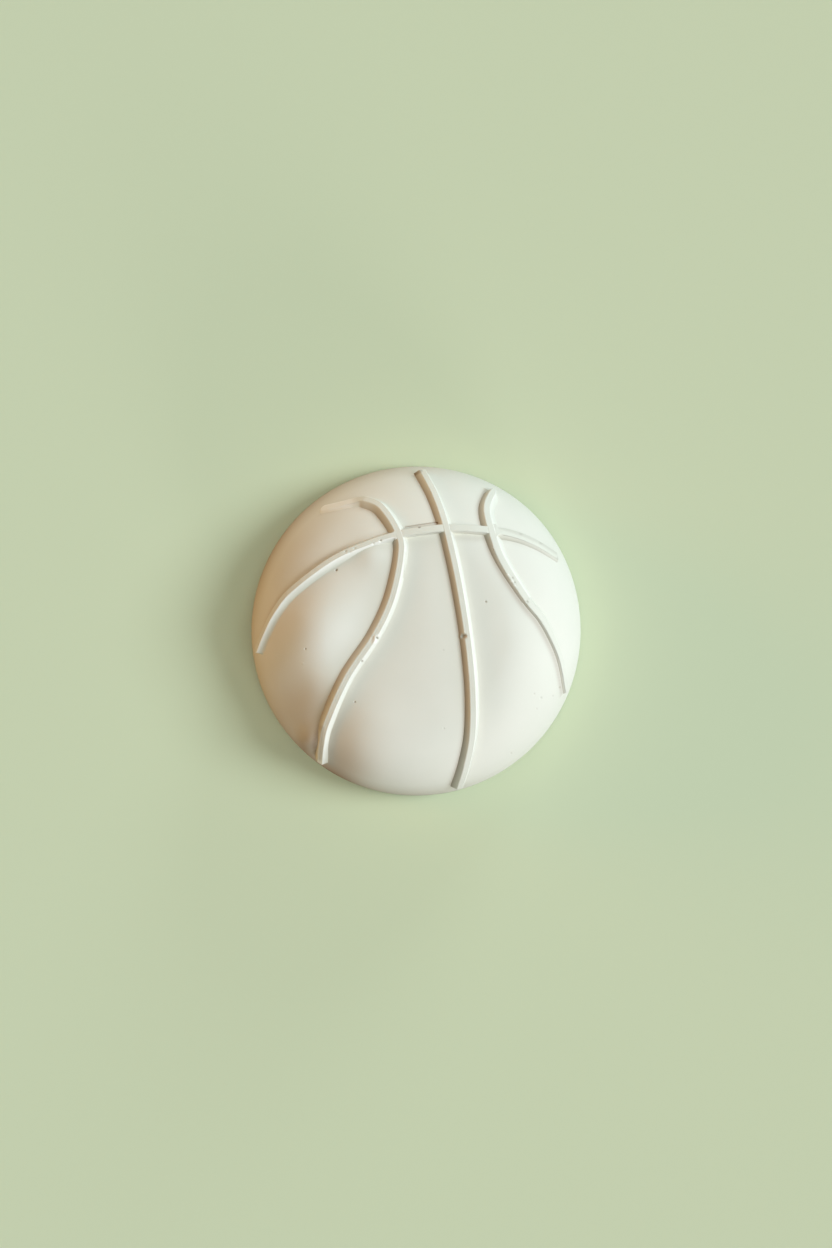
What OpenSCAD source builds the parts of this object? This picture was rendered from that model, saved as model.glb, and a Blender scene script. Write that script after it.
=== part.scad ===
// Cast low-dome ornament with the seam lines of a basketball as raised ribs.
// Millimetres. The flat back lies on z = 0, the dome points to +Z, the seam pattern's top is +Y.

/* [Dome] */

// Width of the dome
base_d = 70; // [65:1:110]
// Radius of the broad, nearly flat top
crown_r = 180; // [80:5:300]
// Radius of the rolled shoulder around the top
shoulder_r = 18; // [12:0.5:22]
// Height of the straight wall under the shoulder
wall_h = 1.2; // [1:0.1:8]
// Rounding of the edge between the wall and the flat back
edge_r = 0.8; // [0.4:0.1:0.9]

/* [Panels] */

// Height of the left panel's swell over the plain dome
left_swell_h = 1.5; // [0.5:0.1:1.6]
// Height of the lower panel's swell over the plain dome
lower_swell_h = 1.3; // [0.5:0.1:1.5]

/* [Ribs] */

// Width of a rib across its top, before its edges are eased
rib_top_w = 1.2; // [1:0.1:2]
// Width in plan of each sloping side of a rib
rib_flank = 0.75; // [0.5:0.05:1]
// Height of a rib over the dome
rib_h = 1.2; // [0.8:0.1:1.8]
// Easing of the two upper edges of a rib
rib_ease = 0.15; // [0.1:0.05:0.25]
// Part of the full height that the left rib has at the end of its hook
hook_end_part = 0.4; // [0.35:0.05:1]
// Part of the full height that the left rib has where its hook turns
hook_turn_part = 0.5; // [0.35:0.05:1]
// Part of the full height that the right rib still has at its break
right_break_part = 0.55; // [0.45:0.05:1]
// Part of the full height that the right rib still has at its lower end
right_end_part = 0.45; // [0.4:0.05:1]
// Part of the full height that the cross rib has past the right rib
cross_end_part = 0.4; // [0.35:0.05:1]

/* [Fits] */

// Bond line between a rib and the dome
bond_gap = 0.05; // [0.04:0.01:0.15]
// Gap where one strip ends against another
butt_gap = 0.15; // [0.1:0.05:0.3]

/* [Look] */

// Colour of the cast dome
dome_colour = "#E2DECD";
// Colour of the ribs
rib_colour = "#E9E6D9";

/* [Hidden] */

// Distance of the shoulder's centre from the axis
shoulder_x = base_d / 2 - shoulder_r;
// Height of the crown's centre, at which crown and shoulder run smoothly into each other
crown_z = wall_h - sqrt(pow(crown_r - shoulder_r, 2) - pow(shoulder_x, 2));
// Distance from the axis at which the crown ends and the shoulder begins
join_x = crown_r * shoulder_x / (crown_r - shoulder_r);
// Height of the dome over its flat back
dome_h = crown_z + crown_r;
// Radii of the swells in parts of half the width, and the most that they may be in parts of the shoulder
left_swell_part = 0.35;
lower_swell_part = 0.455;
most_of_shoulder = 0.885;
// Length that both radii follow: half the width, or less over a tight shoulder
swell_span = min(base_d / 2, most_of_shoulder * shoulder_r / lower_swell_part);
left_swell_r = left_swell_part * swell_span;
lower_swell_r = lower_swell_part * swell_span;
// Facets of a full turn of the dome
$fn = 180;

// Swells and rib routes are drawn in plan, in parts of half the width of the dome.
// Middles of the swells of the left and the lower panel
left_swell_parts = [-0.535, 0.014];
lower_swell_parts = [-0.184, -0.624];
// Places where the cross rib meets the three upright ribs
left_crossing_parts = [-0.105, 0.58];
centre_crossing_parts = [0.179, 0.615];
right_crossing_parts = [0.443, 0.598];
// Places where an upright rib is broken in two lengths
left_break_parts = [-0.252, -0.033];
centre_break_parts = [0.306, -0.027];
right_break_parts = [0.661, 0.186];
// Left rib: a hook at its top, then a long bow down to the left
left_top_parts = [[-0.575, 0.745], [-0.466, 0.768], [-0.374, 0.785], [-0.304, 0.784], [-0.207, 0.731]];
left_middle_parts = [[-0.093, 0.443], [-0.148, 0.19]];
left_bottom_parts = [[-0.416, -0.279], [-0.53, -0.539], [-0.556, -0.661], [-0.566, -0.777]];
left_route = concat(
    left_top_parts, [left_crossing_parts], left_middle_parts, [left_break_parts], left_bottom_parts);
hook_turn_at = 2;
hook_full_at = 3;
left_crossing_at = len(left_top_parts);
left_break_at = left_crossing_at + len(left_middle_parts) + 1;
// Centre rib: nearly straight over the dome
centre_top_parts = [[0.025, 0.951], [0.111, 0.801]];
centre_middle_parts = [[0.246, 0.334]];
centre_bottom_parts = [[0.337, -0.355], [0.332, -0.612], [0.295, -0.799], [0.253, -0.928]];
centre_route = concat(
    centre_top_parts, [centre_crossing_parts], centre_middle_parts,
    [centre_break_parts], centre_bottom_parts);
centre_crossing_at = len(centre_top_parts);
centre_break_at = centre_crossing_at + len(centre_middle_parts) + 1;
// Right rib: down from the top, then out to the right
right_top_parts = [[0.446, 0.838], [0.419, 0.732]];
right_middle_parts = [[0.513, 0.422]];
right_bottom_parts = [[0.752, 0.075], [0.824, -0.053], [0.872, -0.182], [0.902, -0.356]];
right_route = concat(
    right_top_parts, [right_crossing_parts], right_middle_parts, [right_break_parts], right_bottom_parts);
right_crossing_at = len(right_top_parts);
right_break_at = right_crossing_at + len(right_middle_parts) + 1;
// Cross rib: from the left side over all three upright ribs to the right side
cross_left_parts = [
    [-0.936, -0.126], [-0.896, -0.006], [-0.835, 0.124], [-0.738, 0.248], [-0.506, 0.424], [-0.295, 0.522]];
cross_right_parts = [[0.582, 0.566], [0.715, 0.513], [0.839, 0.438]];
cross_route = concat(
    cross_left_parts, [left_crossing_parts, centre_crossing_parts, right_crossing_parts], cross_right_parts);
cross_at_left = len(cross_left_parts);
cross_at_centre = cross_at_left + 1;
cross_at_right = cross_at_centre + 1;
// Part of the full height along a rib: the whole of it, the left rib lower in its hook,
// and the right and the cross rib growing lower past their crossing
whole_parts = [[0, 1]];
hook_parts = [[0, hook_end_part], [hook_turn_at, hook_turn_part], [hook_full_at, 1]];
lowering_parts = [
    [right_crossing_at, 1], [right_break_at, right_break_part], [len(right_route) - 1, right_end_part]];
fading_parts = [[cross_at_right, 1], [cross_at_right + 1, cross_end_part]];
// Sides of a rib that is met, along the rib that meets it
near_side = -1;
far_side = 1;
// Slices of a rib between two points of its route
slices = 8;
// Small step along a route for reading its direction
tiny = 0.01;
// Length past a shaped end at which a rib has its full section
end_run = 0.4;

// Half the width of a rib at a height over the dome, where it has a part of its full height
function rib_half_width(height, part) = rib_top_w / 2 + rib_flank * (part - height / rib_h);

// Section of a rib: places across it and heights over the dome, round from its left foot
function rib_section(part) =
    let (top = rib_h * part, eased = top - rib_ease)
    [
        [-rib_half_width(bond_gap, part), bond_gap],
        [-rib_half_width(eased, part), eased],
        [rib_ease - rib_top_w / 2, top],
        [rib_top_w / 2 - rib_ease, top],
        [rib_half_width(eased, part), eased],
        [rib_half_width(bond_gap, part), bond_gap],
        [0, bond_gap]];

// Point of a route, carried on in a straight line past both ends
function route_point(route, i) =
    let (last = len(route) - 1)
    i < 0 ? 2 * route[0] - route[1] :
    i > last ? 2 * route[last] - route[last - 1] :
    route[i];

// Place in plan on the smooth curve through a route's points, at a point number and a part of the next step
function along(route, at) =
    let (
        i = min(max(floor(at), 0), len(route) - 2),
        part = at - i,
        before = route_point(route, i - 1),
        here = route_point(route, i),
        next = route_point(route, i + 1),
        after = route_point(route, i + 2)
    )
    (2 * here + (next - before) * part
        + (2 * before - 5 * here + 4 * next - after) * pow(part, 2)
        + (3 * here - before - 3 * next + after) * pow(part, 3)) * base_d / 4;

// Height of the dome's skin at a distance from its axis
function skin_height(reach) =
    reach < join_x ? crown_z + sqrt(pow(crown_r, 2) - pow(reach, 2)) :
    wall_h + sqrt(max(pow(shoulder_r, 2) - pow(reach - shoulder_x, 2), 0));

// Lean of the skin's outward direction at a distance from the axis, as a sine
function skin_lean(reach) = reach < join_x ? reach / crown_r : min((reach - shoulder_x) / shoulder_r, 1);

// Point of the skin over a place in plan
function skin_point(place) = [place.x, place.y, skin_height(norm(place))];

// Outward direction of the skin over a place in plan
function outward(place) =
    let (reach = max(norm(place), tiny), lean = skin_lean(reach))
    [place.x / reach * lean, place.y / reach * lean, sqrt(1 - pow(lean, 2))];

// Way over the skin of two small steps along a route
function change(route, at) = skin_point(along(route, at + tiny)) - skin_point(along(route, at - tiny));

// Direction in which a route runs over the dome
function heading(route, at) = change(route, at) / norm(change(route, at));

// Direction across a route, to its left
function sideways(route, at) = cross(outward(along(route, at)), heading(route, at));

// Millimetres over the dome from one route point to the next
function pace(route, at) = norm(change(route, at)) / (2 * tiny);

// Place on a rib: across its route and over the dome
function rib_point(route, at, across, over) =
    let (left = sideways(route, at), place = along(route, at) + [left.x, left.y] * across)
    skin_point(place) + outward(place) * over;

// Offsets in millimetres of a section's points for a straight cut
function straight_cut(offset) = [for (corner = rib_section(1)) offset];

// The same for an end shaped to the flank of the rib it meets, on one side of that rib
function coped_cut(route, at, met_route, met_at, side) =
    let (
        ahead = heading(route, at),
        left = sideways(route, at),
        met_left = sideways(met_route, met_at),
        met_out = met_left * ahead > 0 ? met_left : -met_left
    )
    [for (corner = rib_section(1))
        (side * (rib_half_width(corner.y, 1) + butt_gap) - corner.x * (met_out * left)) / (met_out * ahead)];

// One closed slice of a rib
function rib_slice(route, parts, at, cut) =
    let (section = rib_section(lookup(at, parts)))
    [for (i = [0:len(section) - 1])
        rib_point(route, at + cut[i] / pace(route, at), section[i].x, section[i].y)];

// A strip of rib between two points of its route
module rib_strip(route, parts, from, to, from_cut, to_cut) {
    sides = len(from_cut);
    start = from + (max(from_cut) + end_run) / pace(route, from);
    stop = to + (min(to_cut) - end_run) / pace(route, to);
    steps = ceil((stop - start) * slices);
    rings = concat(
        [rib_slice(route, parts, from, from_cut)],
        [for (k = [0:steps]) rib_slice(route, parts, start + (stop - start) * k / steps, straight_cut(0))],
        [rib_slice(route, parts, to, to_cut)]);
    last = (len(rings) - 1) * sides;
    faces = concat(
        [for (i = [0:sides - 3]) [sides - 1, i + 1, i]],
        [for (k = [0:len(rings) - 2], i = [0:sides - 1])
            [k * sides + i, k * sides + (i + 1) % sides, (k + 1) * sides + i]],
        [for (k = [0:len(rings) - 2], i = [0:sides - 1])
            [k * sides + (i + 1) % sides, (k + 1) * sides + (i + 1) % sides, (k + 1) * sides + i]],
        [for (i = [0:sides - 3]) [last + sides - 1, last + i, last + i + 1]]);
    polyhedron(points = [for (ring = rings, corner = ring) corner], faces = faces);
}

// Plain round dome with a flat back
module plain_dome() {
    rotate_extrude() {
        intersection() {
            translate([0, crown_z]) circle(r = crown_r);
            square([join_x, 2 * dome_h]);
        }
        intersection() {
            translate([shoulder_x, wall_h]) circle(r = shoulder_r);
            translate([join_x, wall_h]) square(shoulder_r);
        }
        square([base_d / 2 - edge_r, wall_h]);
        translate([0, edge_r]) square([base_d / 2, wall_h - edge_r]);
        translate([base_d / 2 - edge_r, edge_r]) circle(r = edge_r);
    }
}

// Low swell of a panel: a ball that lies in the dome and stands a little out of its skin
module swell(middle_parts, radius, height) {
    middle = middle_parts * base_d / 2;
    translate(skin_point(middle) + outward(middle) * (height - radius)) sphere(r = radius);
}

// Low dome with two swollen panels and a flat back
module dome_body() {
    color(dome_colour) {
        plain_dome();
        intersection() {
            translate([0, 0, wall_h]) cylinder(h = 2 * dome_h, d = base_d);
            union() {
                swell(left_swell_parts, left_swell_r, left_swell_h);
                swell(lower_swell_parts, lower_swell_r, lower_swell_h);
            }
        }
    }
}

// Left rib from its cut top end to its break
module left_rib_upper() {
    color(rib_colour)
    rib_strip(left_route, hook_parts, 0, left_break_at, straight_cut(0), straight_cut(-butt_gap / 2));
}

// Left rib from its break to its cut lower end
module left_rib_lower() {
    color(rib_colour)
    rib_strip(left_route, whole_parts, left_break_at, len(left_route) - 1,
        straight_cut(butt_gap / 2), straight_cut(0));
}

// Centre rib from its cut top end to its break
module centre_rib_upper() {
    color(rib_colour)
    rib_strip(centre_route, whole_parts, 0, centre_break_at, straight_cut(0), straight_cut(-butt_gap / 2));
}

// Centre rib from its break to its cut lower end
module centre_rib_lower() {
    color(rib_colour)
    rib_strip(centre_route, whole_parts, centre_break_at, len(centre_route) - 1,
        straight_cut(butt_gap / 2), straight_cut(0));
}

// Right rib from its cut top end to its break
module right_rib_upper() {
    color(rib_colour)
    rib_strip(right_route, lowering_parts, 0, right_break_at, straight_cut(0), straight_cut(-butt_gap / 2));
}

// Right rib from its break to its cut lower end
module right_rib_lower() {
    color(rib_colour)
    rib_strip(right_route, lowering_parts, right_break_at, len(right_route) - 1,
        straight_cut(butt_gap / 2), straight_cut(0));
}

// Cross rib from its cut left end to the left rib
module cross_rib_far_left() {
    color(rib_colour)
    rib_strip(cross_route, whole_parts, 0, cross_at_left, straight_cut(0),
        coped_cut(cross_route, cross_at_left, left_route, left_crossing_at, near_side));
}

// Cross rib between the left and the centre rib
module cross_rib_mid_left() {
    color(rib_colour)
    rib_strip(cross_route, whole_parts, cross_at_left, cross_at_centre,
        coped_cut(cross_route, cross_at_left, left_route, left_crossing_at, far_side),
        coped_cut(cross_route, cross_at_centre, centre_route, centre_crossing_at, near_side));
}

// Cross rib between the centre and the right rib
module cross_rib_mid_right() {
    color(rib_colour)
    rib_strip(cross_route, whole_parts, cross_at_centre, cross_at_right,
        coped_cut(cross_route, cross_at_centre, centre_route, centre_crossing_at, far_side),
        coped_cut(cross_route, cross_at_right, right_route, right_crossing_at, near_side));
}

// Cross rib from the right rib to its cut right end
module cross_rib_far_right() {
    color(rib_colour)
    rib_strip(cross_route, fading_parts, cross_at_right, len(cross_route) - 1,
        coped_cut(cross_route, cross_at_right, right_route, right_crossing_at, far_side), straight_cut(0));
}

dome_body();
left_rib_upper();
left_rib_lower();
centre_rib_upper();
centre_rib_lower();
right_rib_upper();
right_rib_lower();
cross_rib_far_left();
cross_rib_mid_left();
cross_rib_mid_right();
cross_rib_far_right();
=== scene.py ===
"""Looks of a cast low-dome ornament with the seam lines of a ball as raised ribs.

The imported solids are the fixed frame. A finer cast piece of the same place and size replaces each solid.
Pieces are shaped in millimetres and brought to metres when they are finished.
"""

import logging
import math
from dataclasses import dataclass
from enum import Enum
from typing import Any, Dict, List, Optional, Tuple

import bmesh
import bpy
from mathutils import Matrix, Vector, noise
from mathutils.kdtree import KDTree


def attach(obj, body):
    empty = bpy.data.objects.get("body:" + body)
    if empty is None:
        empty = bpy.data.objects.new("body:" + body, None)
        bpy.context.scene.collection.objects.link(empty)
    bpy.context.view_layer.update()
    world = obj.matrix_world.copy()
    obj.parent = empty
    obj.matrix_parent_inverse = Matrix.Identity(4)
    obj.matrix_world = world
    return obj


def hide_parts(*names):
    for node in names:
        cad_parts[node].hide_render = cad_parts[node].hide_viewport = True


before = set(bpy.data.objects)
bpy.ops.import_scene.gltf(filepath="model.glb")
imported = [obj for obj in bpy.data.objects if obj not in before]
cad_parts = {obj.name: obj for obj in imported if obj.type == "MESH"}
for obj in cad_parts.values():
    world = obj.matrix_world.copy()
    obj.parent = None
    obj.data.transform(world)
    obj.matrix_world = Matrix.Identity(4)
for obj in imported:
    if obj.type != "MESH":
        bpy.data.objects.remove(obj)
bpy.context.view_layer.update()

LOG = logging.getLogger("low_dome")
MM = 0.001
BODY = "root"
# Attribute that holds painted shade and painted highlights
PAINTED_SHADING = "painted_shading"
# Direction in plan that is turned from the light, where shade is painted
LEE = (-1.0, -0.07)
# Smallest length that counts, in millimetres
TINY = 0.001
# Points on a rib's centre line from one place of its route to the next
POINTS_PER_PLACE = 60
# Part of the full height from which a rib gets all of its painted shade
FULL_SHADE_PART = 0.45
# Numbers of the sockets of a colour mix node
MIX_SHARE = 0
MIX_FIRST = 6
MIX_SECOND = 7
MIX_RESULT = 2

Place = Tuple[float, float]


def linear(hex_colour: str) -> Tuple[float, float, float, float]:
    """Turns an sRGB hex colour into a linear colour with full alpha.

    Args:
        hex_colour: six hex digits with a leading hash.

    Returns:
        Linear red, green, blue and alpha.
    """
    values = [int(hex_colour[i:i + 2], 16) / 255 for i in (1, 3, 5)]
    bent = [v / 12.92 if v <= 0.04045 else ((v + 0.055) / 1.055) ** 2.4 for v in values]
    return (bent[0], bent[1], bent[2], 1.0)


def add_node(tree: bpy.types.NodeTree, kind: str, settings: Optional[Dict[str, Any]] = None,
             inputs: Optional[Dict[Any, Any]] = None) -> bpy.types.Node:
    """Adds a node to a tree, sets it up and links it.

    Args:
        tree: the node tree.
        kind: the node's type name.
        settings: attributes of the node and their values.
        inputs: input names or numbers with a value, or with an output socket to link from.

    Returns:
        The new node.
    """
    node = tree.nodes.new(kind)
    for key, value in (settings or {}).items():
        setattr(node, key, value)
    for key, value in (inputs or {}).items():
        if isinstance(value, bpy.types.NodeSocket):
            tree.links.new(value, node.inputs[key])
        else:
            node.inputs[key].default_value = value
    return node


@dataclass(frozen=True)
class CastPlaster:
    """Off-white casting plaster, poured and left unpainted: matte and chalky, with a faint cloudy tone.

    The painted shading attribute mixes in a painted shade colour where it is above 0, and a painted highlight
    colour where it is below 0.
    The grain of real plaster is too fine to show, so it is drawn coarser.
    """

    name: str
    pale: str
    deep: str
    # Colour of the painted shade
    shading_paint: str
    # Colour of the painted highlight
    highlight_paint: str = "#FCFBF4"
    roughness: float = 0.75
    ior: float = 1.5
    specular: float = 0.25
    cloud_mm: float = 9.0
    cloud_detail: float = 3.0
    grain_mm: float = 0.6
    grain_detail: float = 2.0
    grain_depth_mm: float = 0.01
    grain_strength: float = 0.5

    def material(self) -> bpy.types.Material:
        """Makes the node material.

        Returns:
            The material.
        """
        made = bpy.data.materials.new(self.name)
        made.use_nodes = True
        tree = made.node_tree
        tree.nodes.clear()
        place = add_node(tree, "ShaderNodeTexCoord")
        cloud = add_node(tree, "ShaderNodeTexNoise", {}, {
            "Vector": place.outputs["Object"], "Scale": 1 / (self.cloud_mm * MM),
            "Detail": self.cloud_detail})
        tone = add_node(tree, "ShaderNodeMix", {"data_type": "RGBA"}, {
            MIX_SHARE: cloud.outputs["Fac"], MIX_FIRST: linear(self.pale), MIX_SECOND: linear(self.deep)})
        # Painted shading: shade colour above 0, highlight colour below 0
        painted_shading = add_node(tree, "ShaderNodeAttribute", {"attribute_name": PAINTED_SHADING})
        highlight_share = add_node(tree, "ShaderNodeMath", {"operation": "MULTIPLY"}, {
            0: painted_shading.outputs["Fac"], 1: -1.0})
        painted_highlight = add_node(tree, "ShaderNodeMix", {"data_type": "RGBA"}, {
            MIX_SHARE: highlight_share.outputs[0], MIX_FIRST: tone.outputs[MIX_RESULT], MIX_SECOND: linear(self.highlight_paint)})
        colour = add_node(tree, "ShaderNodeMix", {"data_type": "RGBA"}, {
            MIX_SHARE: painted_shading.outputs["Fac"], MIX_FIRST: painted_highlight.outputs[MIX_RESULT],
            MIX_SECOND: linear(self.shading_paint)})
        grain = add_node(tree, "ShaderNodeTexNoise", {}, {
            "Vector": place.outputs["Object"], "Scale": 1 / (self.grain_mm * MM),
            "Detail": self.grain_detail})
        bump = add_node(tree, "ShaderNodeBump", {}, {
            "Strength": self.grain_strength, "Distance": self.grain_depth_mm * MM,
            "Height": grain.outputs["Fac"]})
        shader = add_node(tree, "ShaderNodeBsdfPrincipled", {}, {
            "Base Color": colour.outputs[MIX_RESULT], "Roughness": self.roughness, "IOR": self.ior,
            "Specular IOR Level": self.specular, "Normal": bump.outputs["Normal"]})
        add_node(tree, "ShaderNodeOutputMaterial", {}, {"Surface": shader.outputs["BSDF"]})
        return made


@dataclass(frozen=True)
class Skin:
    """The plain round skin of the dome, which all pieces share. Sizes in millimetres."""

    base_d: float = 70.0
    crown_r: float = 180.0
    shoulder_r: float = 18.0
    wall_h: float = 1.2
    edge_r: float = 0.8

    @property
    def half(self) -> float:
        """Half the width of the dome."""
        return self.base_d / 2

    @property
    def shoulder_x(self) -> float:
        """Distance of the shoulder's centre from the axis."""
        return self.half - self.shoulder_r

    @property
    def crown_z(self) -> float:
        """Height of the crown's centre."""
        return self.wall_h - math.sqrt((self.crown_r - self.shoulder_r) ** 2 - self.shoulder_x ** 2)

    @property
    def join_x(self) -> float:
        """Distance from the axis at which the crown ends and the shoulder begins."""
        return self.crown_r * self.shoulder_x / (self.crown_r - self.shoulder_r)

    def outward(self, place: Vector) -> Vector:
        """Gives the outward direction of the skin over a place in plan.

        Args:
            place: a place in plan, in millimetres from the axis.

        Returns:
            A unit vector.
        """
        reach = max(place.length, TINY)
        lean = reach / self.crown_r if reach < self.join_x else (reach - self.shoulder_x) / self.shoulder_r
        lean = min(lean, 1.0)
        return Vector((place.x / reach * lean, place.y / reach * lean, math.sqrt(1 - lean * lean)))

    def point(self, place: Vector, over: float = 0.0) -> Vector:
        """Gives a point over the skin, square to it.

        Args:
            place: a place in plan, in millimetres from the axis.
            over: height over the skin.

        Returns:
            The point in millimetres.
        """
        reach = place.length
        if reach < self.join_x:
            height = self.crown_z + math.sqrt(self.crown_r ** 2 - reach ** 2)
        else:
            height = self.wall_h + math.sqrt(max(self.shoulder_r ** 2 - (reach - self.shoulder_x) ** 2, 0.0))
        return Vector((place.x, place.y, height)) + self.outward(place) * over


SKIN = Skin()


@dataclass(frozen=True)
class Route:
    """A smooth curve in plan through a few places, which are given in parts of half the dome's width."""

    places: Tuple[Place, ...]
    parts: Tuple[Tuple[Place, float], ...] = ()
    step: float = 0.01

    @property
    def last(self) -> int:
        """Number of the last place."""
        return len(self.places) - 1

    def number(self, place: Place) -> int:
        """Number of a place in the route."""
        return self.places.index(place)

    def knot(self, i: int) -> Vector:
        """Gives a place of the route, carried on in a straight line past both ends.

        Args:
            i: the place's number, from one before the first to one after the last.

        Returns:
            The place, in parts of half the dome's width.
        """
        if i < 0:
            return 2 * Vector(self.places[0]) - Vector(self.places[1])
        if i > self.last:
            return 2 * Vector(self.places[-1]) - Vector(self.places[-2])
        return Vector(self.places[i])

    def along(self, at: float) -> Vector:
        """Gives the place on the curve.

        Args:
            at: a place's number plus a part of the way to the next.

        Returns:
            The place in plan, in millimetres.
        """
        i = min(max(math.floor(at), 0), self.last - 1)
        part = at - i
        before, here, after, beyond = (self.knot(i + k) for k in (-1, 0, 1, 2))
        return (2 * here + (after - before) * part
                + (2 * before - 5 * here + 4 * after - beyond) * part ** 2
                + (3 * here - before - 3 * after + beyond) * part ** 3) * SKIN.half / 2

    def change(self, at: float) -> Vector:
        """Gives the way over the skin from one place to the next, at the pace of the curve here."""
        ahead = SKIN.point(self.along(at + self.step)) - SKIN.point(self.along(at - self.step))
        return ahead / (2 * self.step)

    def left(self, at: float) -> Vector:
        """Gives the direction across the route, to its left."""
        return SKIN.outward(self.along(at)).cross(self.change(at).normalized())

    def part(self, at: float) -> float:
        """Gives the part of the full rib height that the rib has here.

        Args:
            at: a place's number plus a part of the way to the next.

        Returns:
            The part, which is 1 where none is named.
        """
        known = [(self.number(place), part) for place, part in self.parts]
        if not known:
            return 1.0
        if at <= known[0][0]:
            return known[0][1]
        for (a, low), (b, high) in zip(known, known[1:]):
            if at <= b:
                return low + (high - low) * (at - a) / (b - a)
        return known[-1][1]


LEFT_CROSSING: Place = (-0.102, 0.581)
CENTRE_CROSSING: Place = (0.182, 0.616)
RIGHT_CROSSING: Place = (0.447, 0.599)
LEFT_BREAK: Place = (-0.25, -0.032)
CENTRE_BREAK: Place = (0.309, -0.027)
RIGHT_BREAK: Place = (0.666, 0.19)
RIGHT_END: Place = (0.906, -0.355)
CROSS_LOW: Place = (0.585, 0.577)
CROSS_END: Place = (0.843, 0.448)
HOOK_END: Place = (-0.574, 0.738)
HOOK_LOW: Place = (-0.465, 0.761)
HOOK_TURN: Place = (-0.374, 0.78)
HOOK_RISE: Place = (-0.304, 0.784)
HOOK_FULL: Place = (-0.202, 0.735)


class Seam(Enum):
    """The four ribs and their routes over the dome."""

    LEFT = Route(
        (HOOK_END, HOOK_LOW, HOOK_TURN, HOOK_RISE, HOOK_FULL, LEFT_CROSSING, (-0.091, 0.443),
         (-0.146, 0.19), LEFT_BREAK, (-0.414, -0.28), (-0.527, -0.54), (-0.555, -0.661), (-0.566, -0.777)),
        ((HOOK_END, 0.15), (HOOK_LOW, 0.25), (HOOK_TURN, 0.5), (HOOK_RISE, 0.85), (HOOK_FULL, 1.0)))
    CENTRE = Route((
        (0.038, 0.949), (0.116, 0.802), CENTRE_CROSSING, (0.249, 0.335), CENTRE_BREAK, (0.341, -0.355),
        (0.336, -0.612), (0.299, -0.798), (0.257, -0.927)))
    RIGHT = Route(
        ((0.462, 0.839), (0.419, 0.732), RIGHT_CROSSING, (0.517, 0.424), RIGHT_BREAK, (0.755, 0.077),
         (0.826, -0.052), (0.875, -0.181), RIGHT_END),
        ((RIGHT_CROSSING, 1.0), (RIGHT_BREAK, 0.55), (RIGHT_END, 0.45)))
    CROSS = Route(
        ((-0.946, -0.124), (-0.901, -0.004), (-0.835, 0.124), (-0.736, 0.246), (-0.506, 0.424),
         (-0.295, 0.522), LEFT_CROSSING, CENTRE_CROSSING, RIGHT_CROSSING, CROSS_LOW, (0.719, 0.524),
         CROSS_END),
        ((RIGHT_CROSSING, 1.0), (CROSS_LOW, 0.75), (CROSS_END, 0.6)))

    def line(self) -> KDTree:
        """Gathers closely spaced points of the rib's centre line on the skin.

        Returns:
            A search tree of points in millimetres.
        """
        route = self.value
        count = route.last * POINTS_PER_PLACE
        tree = KDTree(count + 1)
        for k in range(count + 1):
            tree.insert(SKIN.point(route.along(k / POINTS_PER_PLACE)), k)
        tree.balance()
        return tree


LINES: Dict[Seam, KDTree] = {seam: seam.line() for seam in Seam}


def shade_share(part: float) -> float:
    """Share of the usual painted shade beside a rib: less where the rib has nearly sunk into the dome."""
    return min(part / FULL_SHADE_PART, 1.0)


@dataclass(frozen=True)
class Flaw:
    """A small fault of the cast: a pit, a chip, a scratch or, with a negative depth, a lump. Millimetres."""

    x: float
    y: float
    radius: float
    depth: float
    # Painted shade in the flaw, or a painted highlight on it where below 0
    painted_shading: float = 0.0
    end: Optional[Place] = None

    def away(self, spot: Vector) -> float:
        """Measures how far a point lies from the flaw in plan.

        Args:
            spot: the point, in millimetres.

        Returns:
            The distance in parts of the flaw's radius.
        """
        start = Vector((self.x, self.y))
        if self.end:
            way = Vector(self.end) - start
            start += way * min(max((spot.xy - start).dot(way) / way.length_squared, 0.0), 1.0)
        return (spot.xy - start).length / self.radius

    def reach(self, spot: Vector) -> float:
        """Part of the flaw's depth that acts at a point."""
        away = self.away(spot)
        return (1 - away * away) ** 2 if away < 1 else 0.0


PITS: Tuple[Flaw, ...] = (
    # Open air pits on the left and right panels, with painted shade in them
    Flaw(-16.86, 12.91, 0.38, 0.3, 0.75), Flaw(14.72, 6.19, 0.36, 0.2, 0.4),
    Flaw(-23.05, -3.73, 0.32, 0.2, 0.45), Flaw(-12.91, -14.94, 0.3, 0.22, 0.45),
    # Faint pits with a little painted shade, and a lump
    Flaw(5.87, -20.49, 0.3, 0.08, 0.12), Flaw(5.76, -4.05, 0.35, 0.05, 0.08),
    Flaw(20.06, -25.82, 0.35, 0.06, 0.1), Flaw(24.86, -13.23, 0.35, 0.06, 0.1),
    Flaw(26.36, -14.09, 0.4, 0.08, 0.1), Flaw(28.92, -13.77, 0.3, 0.06, 0.1),
    Flaw(25.4, -16.43, 0.35, 0.05, 0.06), Flaw(30.52, -11.95, 0.35, 0.1, 0.2),
    Flaw(-23.69, -6.83, 0.4, -0.05),
    # Crack beside the cross rib, between the left and the centre rib, with painted shade in it
    Flaw(-2.3, 22.05, 0.2, 0.12, 0.5, (4.3, 23.05)))

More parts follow.
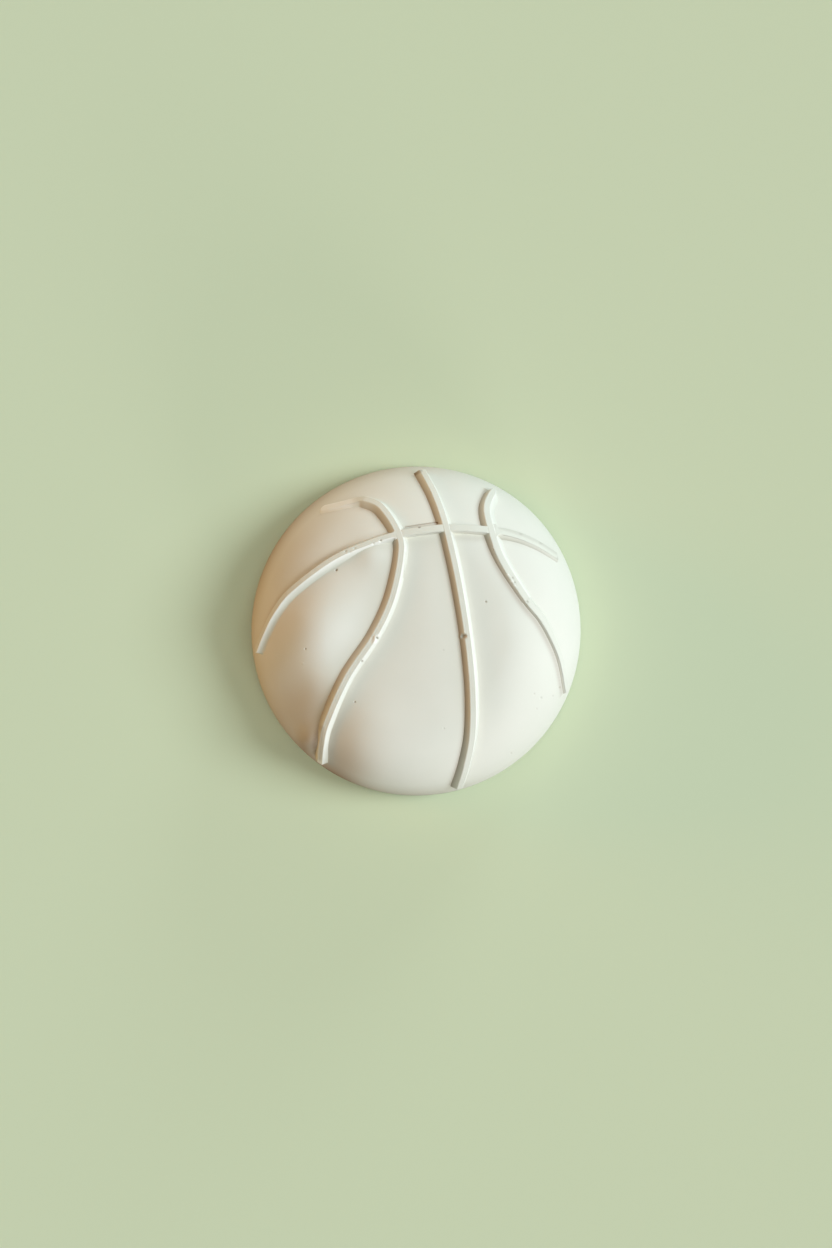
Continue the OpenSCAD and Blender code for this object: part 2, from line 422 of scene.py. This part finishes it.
CHIPS: Tuple[Flaw, ...] = (
    # Nick of the left rib with painted shade, two lumps with painted highlights, and a chip below them with
    # painted shade
    Flaw(-8.2, -1.42, 0.5, 0.6, 1.7), Flaw(-8.4, -1.35, 0.95, -0.25, -0.5),
    Flaw(-8.7, -2.1, 0.75, -0.2, -0.9), Flaw(-11.4, -6.3, 0.45, 0.3, 1.0),
    # Nick of the centre rib with painted shade, and a lump beside it
    Flaw(10.14, -1.07, 0.75, 0.65, 0.45), Flaw(9.2, -1.2, 0.5, -0.35),
    # Lumps with painted highlights, and chips with painted shade, where the right rib is damaged
    Flaw(19.5, 11.9, 0.35, -0.1, -0.9), Flaw(20.2, 10.6, 0.4, -0.1, -0.9), Flaw(20.9, 9.6, 0.3, -0.1, -0.9),
    Flaw(20.4, 11.3, 0.3, 0.3, 0.3), Flaw(20.9, 10.3, 0.3, 0.3, 0.3), Flaw(23.5, 6.2, 0.4, 0.25, 0.25),
    # Chips of the cross rib on the left, with painted shade
    Flaw(-14.94, 16.9, 0.35, 0.25, 0.15), Flaw(-14.0, 16.6, 0.3, 0.2, 0.1), Flaw(-13.0, 17.5, 0.3, 0.2, 0.1),
    # Crack along the cross rib, and two pits beside the left rib, with painted shade in them
    Flaw(0.7, 22.05, 0.45, 0.05, 0.9), Flaw(-2.3, 21.85, 0.28, 0.12, 0.8, (4.5, 22.9)),
    Flaw(-8.96, 18.46, 0.35, 0.3, 0.7), Flaw(-7.47, 19.1, 0.35, 0.3, 0.7),
    # Tool line on the left rib with painted shade in it, and painted shade at the top end of the centre rib
    Flaw(-2.2, 16.6, 0.3, 0.22, 0.25, (-2.7, 11.4)), Flaw(-0.3, 33.3, 0.6, 0.0, 0.4, (1.0, 34.0)),
    # Line of painted shade along the cross rib on the right
    Flaw(17.7, 21.9, 0.6, 0.04, 0.16, (22.2, 20.6)), Flaw(22.2, 20.6, 0.6, 0.04, 0.16, (26.5, 18.7)),
    Flaw(26.5, 18.7, 0.6, 0.04, 0.16, (29.9, 16.5)),
    # Painted shade on the lower end of the left rib and at the right end of the cross rib
    Flaw(-19.9, -20.5, 0.75, 0.0, 0.3, (-20.4, -27.0)), Flaw(30.4, 15.5, 0.8, 0.0, 0.25),
    # Painted light on the low end of the hook
    Flaw(-21.2, 25.9, 2.4, 0.0, -0.7, (-14.5, 27.3)))


@dataclass(frozen=True)
class Hump:
    """A broad, softly fading spot in plan, such as the rise of a panel or a patch of painted shade or painted
    light. Millimetres.
    """

    x: float
    y: float
    spread: float
    size: float

    def at(self, place: Vector) -> float:
        """Size of the hump over a place in plan."""
        away = math.hypot(place.x - self.x, place.y - self.y) / self.spread
        return self.size * math.exp(-away * away)


# Two full panels on the left, and a hollow between them at the edge
SWELLS: Tuple[Hump, ...] = (
    Hump(-20.6, 1.5, 9.2, 1.3), Hump(-10.6, -28.2, 12.0, 1.3), Hump(-27.2, -14.3, 6.4, -1.3))

# Rises that bury the foot of a rib
FILLETS: Tuple[Hump, ...] = (Hump(-9.5, 16.6, 3.5, 0.8), Hump(-22.4, -23.4, 2.6, 3.0))

# Patches of painted shade on the shaded left and lower left of the skin, and one of painted light on the lit
# left panel
PAINTED_PATCHES: Tuple[Hump, ...] = (
    Hump(-25.0, -19.0, 9.0, 0.28), Hump(-16.5, -30.0, 6.0, 0.45), Hump(-27.0, 17.0, 8.0, 0.07),
    Hump(-15.5, -1.5, 6.5, -0.3), Hump(-23.0, -24.0, 2.4, 0.35))


@dataclass(frozen=True)
class RimShade:
    """Painted shade along one side of the dome's lower edge: most at the foot, fading upwards and along the
    edge.

    The side is a direction in plan, and the power says how fast the painted shade fades along the edge.
    The height is in millimetres.
    """

    side: Place
    shading_paint: float
    power: float
    height: float = 9.0

    def at(self, spot: Vector) -> float:
        """Share of painted shade at a point of the plain skin."""
        low = 1 - min(max((spot.z - SKIN.wall_h) / self.height, 0.0), 1.0)
        return self.shading_paint * low * max((spot.xy / SKIN.half).dot(Vector(self.side)), 0.0) ** self.power


# Painted shade along the upper-left and lower-left edge, turned from the light
RIM_SHADES: Tuple[RimShade, ...] = (RimShade((-0.71, 0.71), 0.65, 3.0), RimShade((-0.34, -0.94), 0.6, 5.0))


def finish_piece(shape: bmesh.types.BMesh, name: str, node: str,
                 material: bpy.types.Material) -> bpy.types.Object:
    """Turns a finished shape into a piece that stands for a CAD node.

    Args:
        shape: the shape, in millimetres; it is freed.
        name: the piece's name.
        node: the CAD node that the piece replaces.
        material: the piece's material.

    Returns:
        The new object.
    """
    bmesh.ops.recalc_face_normals(shape, faces=shape.faces)
    bmesh.ops.scale(shape, vec=Vector((MM, MM, MM)), verts=shape.verts)
    for face in shape.faces:
        face.smooth = True
    mesh = bpy.data.meshes.new(name)
    shape.to_mesh(mesh)
    shape.free()
    mesh.materials.append(material)
    piece = bpy.data.objects.new(name, mesh)
    bpy.context.scene.collection.objects.link(piece)
    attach(piece, BODY)
    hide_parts(node)
    LOG.info("%s: %d faces, stands for %s", name, len(mesh.polygons), node)
    return piece


@dataclass
class CastDome:
    """The low dome with its softly crowned panels, air pits and flat back. Sizes in millimetres."""

    crown_rings: int = 54
    shoulder_rings: int = 76
    edge_steps: int = 5
    back_rings: int = 8
    turns: int = 360
    crown: float = 0.4
    crown_reach: float = 5.5
    rim_power: float = 6.0
    # Painted shade on the dome beside each rib, on the side turned from the light
    lee_shade_paint: float = 0.42
    lee_middle: float = 1.5
    lee_spread: float = 0.6
    bulge: float = 0.0095
    bulge_side: Place = (0.7, 0.71)
    bulge_power: float = 8.0
    bulge_fade: float = 4.0
    uneven: float = 0.03
    uneven_mm: float = 8.0
    pit_cuts: int = 5
    pit_reach: float = 2.0

    def arc(self, shape: bmesh.types.BMesh, tip: List[bmesh.types.BMVert], centre: Tuple[float, float, float],
            angle: float, steps: int) -> List[bmesh.types.BMVert]:
        """Carries the dome's section on in an arc.

        Args:
            shape: the shape that takes the arc.
            tip: the last point of the section.
            centre: centre of the arc.
            angle: angle of the arc in radians.
            steps: number of edges.

        Returns:
            The new last point.
        """
        bent = bmesh.ops.spin(shape, geom=tip, cent=centre, axis=(0, 1, 0), angle=angle, steps=steps)
        return [v for v in bent["geom_last"] if isinstance(v, bmesh.types.BMVert)]

    def profile(self, shape: bmesh.types.BMesh) -> None:
        """Draws half of the dome's section: crown, shoulder, low wall, rounded edge and flat back.

        Args:
            shape: the shape that takes the profile.
        """
        fall = math.asin(SKIN.join_x / SKIN.crown_r)
        edge_x = SKIN.half - SKIN.edge_r
        tip = [shape.verts.new((0, 0, SKIN.crown_z + SKIN.crown_r))]
        tip = self.arc(shape, tip, (0, 0, SKIN.crown_z), fall, self.crown_rings)
        tip = self.arc(shape, tip, (SKIN.shoulder_x, 0, SKIN.wall_h), math.pi / 2 - fall, self.shoulder_rings)
        tip = bmesh.ops.extrude_vert_indiv(shape, verts=tip)["verts"]
        bmesh.ops.translate(shape, vec=(0, 0, SKIN.edge_r - SKIN.wall_h), verts=tip)
        tip = self.arc(shape, tip, (edge_x, 0, SKIN.edge_r), math.pi / 2, self.edge_steps)
        for _ in range(self.back_rings):
            tip = bmesh.ops.extrude_vert_indiv(shape, verts=tip)["verts"]
            bmesh.ops.translate(shape, vec=(-edge_x / self.back_rings, 0, 0), verts=tip)

    def lift(self, place: Vector) -> float:
        """Height of the cast skin over the plain one: panels crowned between the ribs, and slightly uneven.

        Args:
            place: a place in plan.

        Returns:
            The height in millimetres.
        """
        spot = SKIN.point(place)
        puff = self.crown + sum(swell.at(place) for swell in SWELLS)
        for line in LINES.values():
            puff *= 1 - math.exp(-(line.find(spot)[2] / self.crown_reach) ** 2)
        wave = self.uneven * noise.noise(spot / self.uneven_mm)
        wave += sum(fillet.at(place) for fillet in FILLETS)
        return (puff + wave) * (1 - min(place.length / SKIN.half, 1.0) ** self.rim_power)

    def shading_paint(self, spot: Vector) -> float:
        """Gives the painted shading on the skin: painted shade beside the ribs away from the light, along the
        rim and in patches, and a painted light patch.

        Args:
            spot: a point of the plain skin, in millimetres.

        Returns:
            The share of painted shade, below 0 for painted light.
        """
        found = 0.0
        for seam, line in LINES.items():
            foot, step, away = line.find(spot)
            # No painted shade beyond the end of a rib
            if step in (0, seam.value.last * POINTS_PER_PLACE):
                continue
            side = (spot - foot).xy.dot(Vector(LEE)) / max(away, TINY)
            band = math.exp(-((away - self.lee_middle) / self.lee_spread) ** 2)
            shade_part = shade_share(seam.value.part(step / POINTS_PER_PLACE))
            found = max(found, self.lee_shade_paint * band * max(side, 0.0) * shade_part)
        return found + sum(rim.at(spot) for rim in RIM_SHADES) + sum(patch.at(spot) for patch in PAINTED_PATCHES)

    def out_of_round(self, place: Vector) -> float:
        """Gives the scale in plan of the skin: the outline is a little fuller on one side.

        Args:
            place: a place in plan, in millimetres.

        Returns:
            The scale.
        """
        reach = place.length / SKIN.half
        side = max(place.normalized().dot(Vector(self.bulge_side)), 0.0) if reach > 0 else 0.0
        return 1 + self.bulge * side ** self.bulge_power * reach ** self.bulge_fade

    def is_near(self, edge: bmesh.types.BMEdge, pit: Flaw) -> bool:
        """Tells whether the middle of an edge of the skin lies near a pit."""
        middle = (edge.verts[0].co + edge.verts[1].co) / 2
        return middle.z > SKIN.wall_h and pit.away(middle) < self.pit_reach

    def build(self) -> bmesh.types.BMesh:
        """Makes the cast dome.

        Returns:
            The shape in millimetres.
        """
        shape = bmesh.new()
        self.profile(shape)
        bmesh.ops.spin(
            shape, geom=shape.verts[:] + shape.edges[:], cent=(0, 0, 0), axis=(0, 0, 1),
            angle=2 * math.pi, steps=self.turns, use_merge=True)
        bmesh.ops.remove_doubles(shape, verts=shape.verts, dist=TINY)
        for pit in PITS:
            near = [edge for edge in shape.edges if self.is_near(edge, pit)]
            bmesh.ops.subdivide_edges(shape, edges=near, cuts=self.pit_cuts, use_grid_fill=True)
        painted_shading = shape.verts.layers.float.new(PAINTED_SHADING)
        for vert in shape.verts:
            place = vert.co.xy
            if vert.co.z > SKIN.wall_h + TINY:
                sunk = sum(pit.depth * pit.reach(vert.co) for pit in PITS)
                # Painted shading of the skin and of the pits
                vert[painted_shading] = self.shading_paint(vert.co) + sum(pit.painted_shading * pit.reach(vert.co) for pit in PITS)
                vert.co = SKIN.point(place, self.lift(place) - sunk)
            vert.co.xy *= self.out_of_round(place)
        return shape


@dataclass(frozen=True)
class Flank:
    """One sloping side of a rib: width in plan, how hollow it is (1 is straight), and painted shade along its
    foot.

    A flank can also carry a painted highlight along its upper edge.
    """

    width: float
    hollow: float = 1.0
    shading_paint: float = 0.0
    painted_highlight: float = 0.0


@dataclass(frozen=True)
class RibSection:
    """Section of a rib: a flat top with eased edges between two sloping flanks. Sizes in millimetres."""

    left: Flank
    right: Flank
    top_w: float = 1.25
    height: float = 1.2
    ease: float = 0.15
    ease_parts: float = 3.0
    # Painted shade on the flank turned from the light
    lee_shade_paint: float = 0.68
    least_flank: float = 0.5
    sink: float = 0.35
    line_depth: float = 0.012
    line_gap: float = 0.37
    flank_steps: int = 9
    top_steps: int = 6
    ease_steps: int = 3

    def side(self, flank: Flank, part: float) -> List[Vector]:
        """Draws one side of the section.

        Args:
            flank: the flank of this side.
            part: part of the full height.

        Returns:
            Places across the rib, counted outwards, and heights over the dome, from the foot to the top.
        """
        top = self.height * part
        wide = flank.width * max(part, self.least_flank)
        points = [Vector((self.top_w / 2 + wide, -self.sink))]
        for k in range(self.flank_steps + 1):
            down = 1 - k / self.flank_steps
            points.append(Vector((self.top_w / 2 + wide * down, top * (1 - down) ** flank.hollow)))
        corner = points.pop()
        ease = min(self.ease, top / self.ease_parts)
        start = corner + (points[-1] - corner).normalized() * ease
        stop = corner - Vector((ease, 0))
        for k in range(self.ease_steps + 1):
            t = k / self.ease_steps
            points.append(start * (1 - t) ** 2 + corner * (2 * t * (1 - t)) + stop * t ** 2)
        middle = Vector((0, top))
        for k in range(1, self.top_steps):
            point = stop.lerp(middle, k / self.top_steps)
            point.y -= self.line_depth * part * (1 - math.cos(2 * math.pi * point.x / self.line_gap))
            points.append(point)
        return points

    def outline(self, part: float) -> List[Tuple[float, float]]:
        """Gives the section's points.

        Args:
            part: part of the full height.

        Returns:
            Places across the rib and heights over the dome, from the right foot over the top to the left one.
        """
        right = [(-p.x, p.y) for p in self.side(self.right, part)]
        left = [(p.x, p.y) for p in reversed(self.side(self.left, part))]
        return right + [(0.0, self.height * part)] + left

    def depth(self, over: float, part: float) -> float:
        """Tells how deep under the top a height is: 0 at the top, 1 at the foot."""
        return max(1 - over / (self.height * part), 0.0)

    def shading_paint(self, across: float, over: float, part: float, left: Vector) -> float:
        """Gives the painted shading at a point of the section: no painted shade on the top, most at the foot
        of a flank.

        Args:
            across: place across the section.
            over: height over the dome.
            part: part of the full height.
            left: direction in plan to the left of the route.

        Returns:
            The share of painted shade, below 0 for a painted highlight.
        """
        flank = self.left if across > 0 else self.right
        lee = max(math.copysign(1.0, across) * left.dot(Vector(LEE)), 0.0)
        deep = self.depth(over, part)
        # A painted highlight on the upper part of a highlighted flank
        highlight_paint = flank.painted_highlight * (1 - deep) if abs(across) > self.top_w / 2 - self.ease else 0.0
        # Painted shade towards the foot, strongest on the flank turned from the light
        return max(flank.shading_paint, self.lee_shade_paint * lee) * deep * shade_share(part) - highlight_paint

    @property
    def reach(self) -> float:
        """Half of the rib's width, without its hollow foot."""
        return self.top_w / 2 + min(self.left.width, self.right.width)


class Cut(Enum):
    """How the end of a strip is made."""

    SQUARE = "cut square"
    ROUND = "rounded off"
    BROKEN = "broken off against its other length"
    COPED = "run into the rib that it meets"


@dataclass(frozen=True)
class End:
    """One end of a strip: the place on its route, how it is cut, and the rib that it meets."""

    place: Place
    cut: Cut = Cut.SQUARE
    meets: Optional[Seam] = None


@dataclass(frozen=True)
class Station:
    """One row of a strip: its place, directions and distances from the two ends. Sizes in millimetres."""

    spot: Vector
    ahead: Vector
    left: Vector
    part: float
    gone: Tuple[float, float]
    meeting: Tuple[float, float]


@dataclass
class RibStrip:
    """One length of a raised rib. Sizes in millimetres."""

    node: str
    seam: Seam
    start: End
    stop: End
    section: RibSection
    spacing: float = 0.18
    crack: float = 0.02
    bite: float = 0.3
    dip: float = 0.05
    corner: float = 0.3
    spread: float = 0.0
    end_slope: float = 0.35
    end_round: float = 1.0
    # Painted shade on the face of a square-cut end
    end_shade_paint: float = 0.45
    uneven: float = 0.03
    uneven_mm: float = 1.6
    least_tip: float = 0.03
    samples: int = 50
    weld: float = 0.0005

    @property
    def ends(self) -> Tuple[End, End]:
        """Both ends."""
        return (self.start, self.stop)

    def margin(self, end: End) -> float:
        """Length of route left off at an end."""
        return {Cut.BROKEN: self.crack / 2, Cut.COPED: self.bite}.get(end.cut, 0.0)

    def stations(self) -> List[Station]:
        """Spreads the rows along the strip.

        Returns:
            The rows in order.
        """
        route = self.seam.value
        first, final = route.number(self.start.place), route.number(self.stop.place)
        begin = first + self.margin(self.start) / route.change(first).length
        finish = final - self.margin(self.stop) / route.change(final).length
        span = finish - begin
        paces = [route.change(begin + span * k / self.samples).length for k in range(self.samples + 1)]
        steps = math.ceil(sum(paces) / len(paces) * span / self.spacing)
        places = [begin + span * k / steps for k in range(steps + 1)]
        spots = [route.along(at) for at in places]
        run = [0.0]
        for a, b in zip(spots, spots[1:]):
            run.append(run[-1] + (SKIN.point(b) - SKIN.point(a)).length)
        rows = []
        for at, spot, gone in zip(places, spots, run):
            met = tuple(
                LINES[end.meets].find(SKIN.point(spot))[2] if end.cut is Cut.COPED else math.inf
                for end in self.ends)
            rows.append(Station(
                spot, route.change(at).normalized(), route.left(at).xy, route.part(at),
                (gone, run[-1] - gone), met))
        return rows

    def narrowing(self, row: Station) -> float:
        """Gives the part of its width that the strip has: more where it is low, less towards a rounded end.

        Args:
            row: the row.

        Returns:
            The part of the full width.
        """
        kept = 1 + self.spread * (1 - row.part)
        for end, gone in zip(self.ends, row.gone):
            if end.cut is Cut.ROUND and gone < self.end_round:
                kept *= math.sqrt(max(1 - (1 - gone / self.end_round) ** 2, self.least_tip))
        return kept

    def widening(self, row: Station) -> float:
        """Gives the extra half width where the strip runs into a rib with rounded corners.

        Args:
            row: the row.

        Returns:
            The extra half width in millimetres.
        """
        extra = 0.0
        for met in row.meeting:
            away = met - self.section.reach
            if away < self.corner:
                deep = 1 - max(away, 0.0) / self.corner
                extra = self.corner * (1 - math.sqrt(1 - deep * deep))
        return extra

    def is_cut_end(self, row: Station) -> bool:
        """Tells whether a row is a free end that is cut square."""
        return any(end.cut is Cut.SQUARE and gone == 0 for end, gone in zip(self.ends, row.gone))

    def vertex(self, row: Station, across: float, over: float) -> Vector:
        """Places one point of the strip.

        Args:
            row: the point's row.
            across: place across the section, to the left of the route.
            over: height over the dome.

        Returns:
            The point in millimetres.
        """
        across = across * self.narrowing(row) + math.copysign(self.widening(row), across)
        top = self.section.height * row.part
        for sign, end, gone in zip((-1, 1), self.ends, row.gone):
            if gone == 0 and end.cut in (Cut.SQUARE, Cut.ROUND):
                out = row.ahead * sign * self.end_slope * (top - over)
                return SKIN.point(row.spot + row.left * across, over) + out
        for end, met in zip(self.ends, row.meeting):
            if end.cut is Cut.COPED and met < self.section.top_w / 2:
                over -= self.dip
        return SKIN.point(row.spot + row.left * across, over)

    def build(self) -> bmesh.types.BMesh:
        """Makes the strip along its route.

        Returns:
            The shape in millimetres.
        """
        stations = self.stations()
        rows = len(stations)
        outlines = [self.section.outline(row.part) for row in stations]
        columns = len(outlines[0])
        half = 0.5
        shape = bmesh.new()
        bmesh.ops.create_grid(shape, x_segments=rows - 1, y_segments=columns, size=half)
        painted_shading = shape.verts.layers.float.new(PAINTED_SHADING)
        for vert in shape.verts:
            row = round((vert.co.x + half) * (rows - 1))
            column = round((vert.co.y + half) * columns) % columns
            across, over = outlines[row][column]
            point = self.vertex(stations[row], across, over)
            if over >= 0:
                part = stations[row].part
                wave = noise.noise(point / self.uneven_mm) * self.uneven * min(over, 1.0)
                sunk = sum(chip.depth * chip.reach(point) for chip in CHIPS)
                point += SKIN.outward(point.xy) * (wave - sunk)
                shading_paint = self.section.shading_paint(across, over, part, stations[row].left)
                # Painted shade on the face of a square-cut end
                if self.is_cut_end(stations[row]):
                    shading_paint = max(shading_paint, self.end_shade_paint * self.section.depth(over, part))
                # Painted shading of the section, plus that of the chips
                vert[painted_shading] = shading_paint + sum(chip.painted_shading * chip.reach(point) for chip in CHIPS)
            vert.co = point
        bmesh.ops.remove_doubles(shape, verts=shape.verts, dist=self.weld)
        rims = [e for e in shape.edges if e.is_boundary]
        bmesh.ops.holes_fill(shape, edges=rims, sides=0)
        for edge in rims:
            edge.smooth = False
        return shape


@dataclass(frozen=True)
class Lamp:
    """A far, soft lamp. Its turn, its rise and the width that it seems to have are in degrees."""

    name: str
    turn: float
    rise: float
    angle: float
    strength: float
    colour: str

    def hang(self) -> None:
        """Adds the lamp to the scene."""
        light = bpy.data.lights.new(self.name, "SUN")
        light.energy = self.strength
        light.angle = math.radians(self.angle)
        light.color = linear(self.colour)[:3]
        lamp = bpy.data.objects.new(self.name, light)
        around, up = math.radians(self.turn), math.radians(self.rise)
        towards = Vector((math.cos(up) * math.cos(around), math.cos(up) * math.sin(around), math.sin(up)))
        lamp.rotation_euler = towards.to_track_quat("Z", "Y").to_euler()
        bpy.context.scene.collection.objects.link(lamp)


@dataclass
class Stage:
    """Plain floor, soft lamps, a faint sky and a camera straight above. Sizes in metres."""

    floor_size: float = 8.0
    floor_gap: float = 0.0001
    floor_colour: str = "#CAD6B9"
    seen_colour: str = "#CED4B1"
    seen_glow: str = "#00303A"
    lamps: Tuple[Lamp, ...] = (
        Lamp("key", 4.0, 38.5, 28.0, 2.43, "#E8F4FF"),
        Lamp("upper_side", 65.0, 8.0, 22.0, 1.2, "#E8F4FF"),
        Lamp("lower_side", 296.0, 8.0, 22.0, 1.2, "#FAF6FF"),
        Lamp("overhead", 0.0, 90.0, 70.0, 1.1, "#FFFBE4"),
        Lamp("warm_fill", 163.0, 7.0, 24.0, 1.12, "#FFA000"))
    sky_strength: float = 0.01
    sky_colour: str = "#FFFFFF"
    backdrop: str = "#C6D4B3"
    camera_height: float = 2.952
    camera_y: float = 0.0015
    lens_mm: float = 400.0
    sensor_mm: float = 36.0
    view_end: float = 20.0

    def floor(self) -> None:
        """Lays the floor.

        To the camera it shows a cooler paint with a faint glow, so that its shade stays green.
        """
        shape = bmesh.new()
        bmesh.ops.create_grid(shape, x_segments=1, y_segments=1, size=self.floor_size / 2)
        bmesh.ops.translate(shape, vec=(0, 0, -self.floor_gap), verts=shape.verts)
        mesh = bpy.data.meshes.new("floor")
        shape.to_mesh(mesh)
        shape.free()
        made = bpy.data.materials.new("painted_board")
        made.use_nodes = True
        tree = made.node_tree
        tree.nodes.clear()
        path = add_node(tree, "ShaderNodeLightPath")
        paint = add_node(tree, "ShaderNodeBsdfDiffuse", {}, {"Color": linear(self.floor_colour)})
        seen = add_node(tree, "ShaderNodeBsdfDiffuse", {}, {"Color": linear(self.seen_colour)})
        glow = add_node(tree, "ShaderNodeEmission", {}, {"Color": linear(self.seen_glow)})
        shown = add_node(tree, "ShaderNodeAddShader", {}, {0: seen.outputs[0], 1: glow.outputs[0]})
        mixed = add_node(tree, "ShaderNodeMixShader", {}, {
            0: path.outputs["Is Camera Ray"], 1: paint.outputs[0], 2: shown.outputs[0]})
        add_node(tree, "ShaderNodeOutputMaterial", {}, {"Surface": mixed.outputs[0]})
        mesh.materials.append(made)
        board = bpy.data.objects.new("floor", mesh)
        bpy.context.scene.collection.objects.link(board)

    def lights(self) -> None:
        """Hangs the lamps and sets the sky."""
        for lamp in self.lamps:
            lamp.hang()
        world = bpy.data.worlds.new("sky")
        world.use_nodes = True
        tree = world.node_tree
        tree.nodes.clear()
        path = add_node(tree, "ShaderNodeLightPath")
        sky = add_node(tree, "ShaderNodeBackground", {}, {
            "Color": linear(self.sky_colour), "Strength": self.sky_strength})
        backdrop = add_node(tree, "ShaderNodeBackground", {}, {"Color": linear(self.backdrop)})
        mixed = add_node(tree, "ShaderNodeMixShader", {}, {
            0: path.outputs["Is Camera Ray"], 1: sky.outputs[0], 2: backdrop.outputs[0]})
        add_node(tree, "ShaderNodeOutputWorld", {}, {"Surface": mixed.outputs[0]})
        bpy.context.scene.world = world

    def camera(self) -> None:
        """Places the camera over the dome, as in the photograph."""
        lens = bpy.data.cameras.new("camera")
        lens.sensor_fit = "VERTICAL"
        lens.sensor_height = self.sensor_mm
        lens.lens = self.lens_mm
        lens.clip_end = self.view_end
        eye = bpy.data.objects.new("camera", lens)
        eye.location = (0, self.camera_y, self.camera_height)
        bpy.context.scene.collection.objects.link(eye)
        bpy.context.scene.camera = eye


@dataclass
class LowDome:
    """The whole ornament: the cast dome and its ribs."""

    # The last colour of each plaster is its painted shade colour
    plaster: CastPlaster = CastPlaster("cast_plaster_body", "#E7E5DA", "#E0DFD3", "#8A6848")
    rib_plaster: CastPlaster = CastPlaster("cast_plaster_rib", "#E5E4D8", "#DEDED1", "#78674F")
    # A flank's third number is painted shade at its foot, its fourth a painted highlight along its upper edge
    upright: RibSection = RibSection(left=Flank(0.8, 1.8, 0.0, 0.4), right=Flank(1.1))
    hooked: RibSection = RibSection(left=Flank(0.8, 1.8, 0.0, 0.4), right=Flank(1.35))
    bulb: RibSection = RibSection(left=Flank(1.7, 1.5, 0.0, 0.5), right=Flank(0.95), top_w=1.35)
    slim: RibSection = RibSection(left=Flank(1.1, 1.6), right=Flank(0.75, 0.8), ease=0.2)
    sweeping: RibSection = RibSection(
        left=Flank(0.45), right=Flank(1.5, 2.8, 0.0, 1.0), top_w=1.05, lee_shade_paint=0.25)
    tight: RibSection = RibSection(left=Flank(0.2, 1.0, 0.8), right=Flank(0.2, 1.0, 0.1), top_w=1.45)
    joining: RibSection = RibSection(left=Flank(0.2, 1.0, 0.4), right=Flank(0.2, 1.0, 0.15), top_w=1.45)
    outer: RibSection = RibSection(left=Flank(0.45, 1.0, 0.6), right=Flank(0.9, 1.0, 0.4), top_w=1.4)

    def strips(self) -> List[RibStrip]:
        """Lists the strips of rib, as the CAD divides them.

        Returns:
            The ten strips.
        """
        left, centre, right, cross = (seam.value.places for seam in Seam)
        left_nick = End(LEFT_BREAK, Cut.BROKEN)
        centre_nick = End(CENTRE_BREAK, Cut.BROKEN)
        right_nick = End(RIGHT_BREAK, Cut.BROKEN)
        at_left = End(LEFT_CROSSING, Cut.COPED, Seam.LEFT)
        at_centre = End(CENTRE_CROSSING, Cut.COPED, Seam.CENTRE)
        at_right = End(RIGHT_CROSSING, Cut.COPED, Seam.RIGHT)
        return [
            RibStrip("left_rib_upper", Seam.LEFT, End(left[0], Cut.ROUND), left_nick, self.hooked,
                     spread=0.2, end_round=0.5),
            RibStrip("left_rib_lower", Seam.LEFT, left_nick, End(left[-1]), self.hooked),
            RibStrip("centre_rib_upper", Seam.CENTRE, End(centre[0]), centre_nick, self.upright,
                     end_slope=0.6),
            RibStrip("centre_rib_lower", Seam.CENTRE, centre_nick, End(centre[-1]), self.upright),
            RibStrip("right_rib_upper", Seam.RIGHT, End(right[0], Cut.ROUND), right_nick, self.bulb,
                     end_round=3.0),
            RibStrip("right_rib_lower", Seam.RIGHT, right_nick, End(right[-1]), self.slim),
            RibStrip("cross_rib_far_left", Seam.CROSS, End(cross[0], Cut.ROUND), at_left, self.sweeping),
            RibStrip("cross_rib_mid_left", Seam.CROSS, at_left, at_centre, self.tight, corner=0.02),
            RibStrip("cross_rib_mid_right", Seam.CROSS, at_centre, at_right, self.joining, corner=0.02),
            RibStrip("cross_rib_far_right", Seam.CROSS, at_right, End(cross[-1]), self.outer,
                     spread=0.5, corner=0.7)]

    def build(self) -> None:
        """Makes and dresses every piece."""
        body = self.plaster.material()
        rib = self.rib_plaster.material()
        finish_piece(CastDome().build(), "dome_body_cast", "dome_body", body)
        for strip in self.strips():
            finish_piece(strip.build(), strip.node + "_cast", strip.node, rib)


def main() -> None:
    """Builds the stage and the ornament."""
    logging.basicConfig(level=logging.INFO, format="%(name)s: %(message)s")
    bpy.context.scene.view_settings.view_transform = "Standard"
    stage = Stage()
    stage.camera()
    stage.floor()
    stage.lights()
    LowDome().build()


if __name__ == "__main__":
    main()
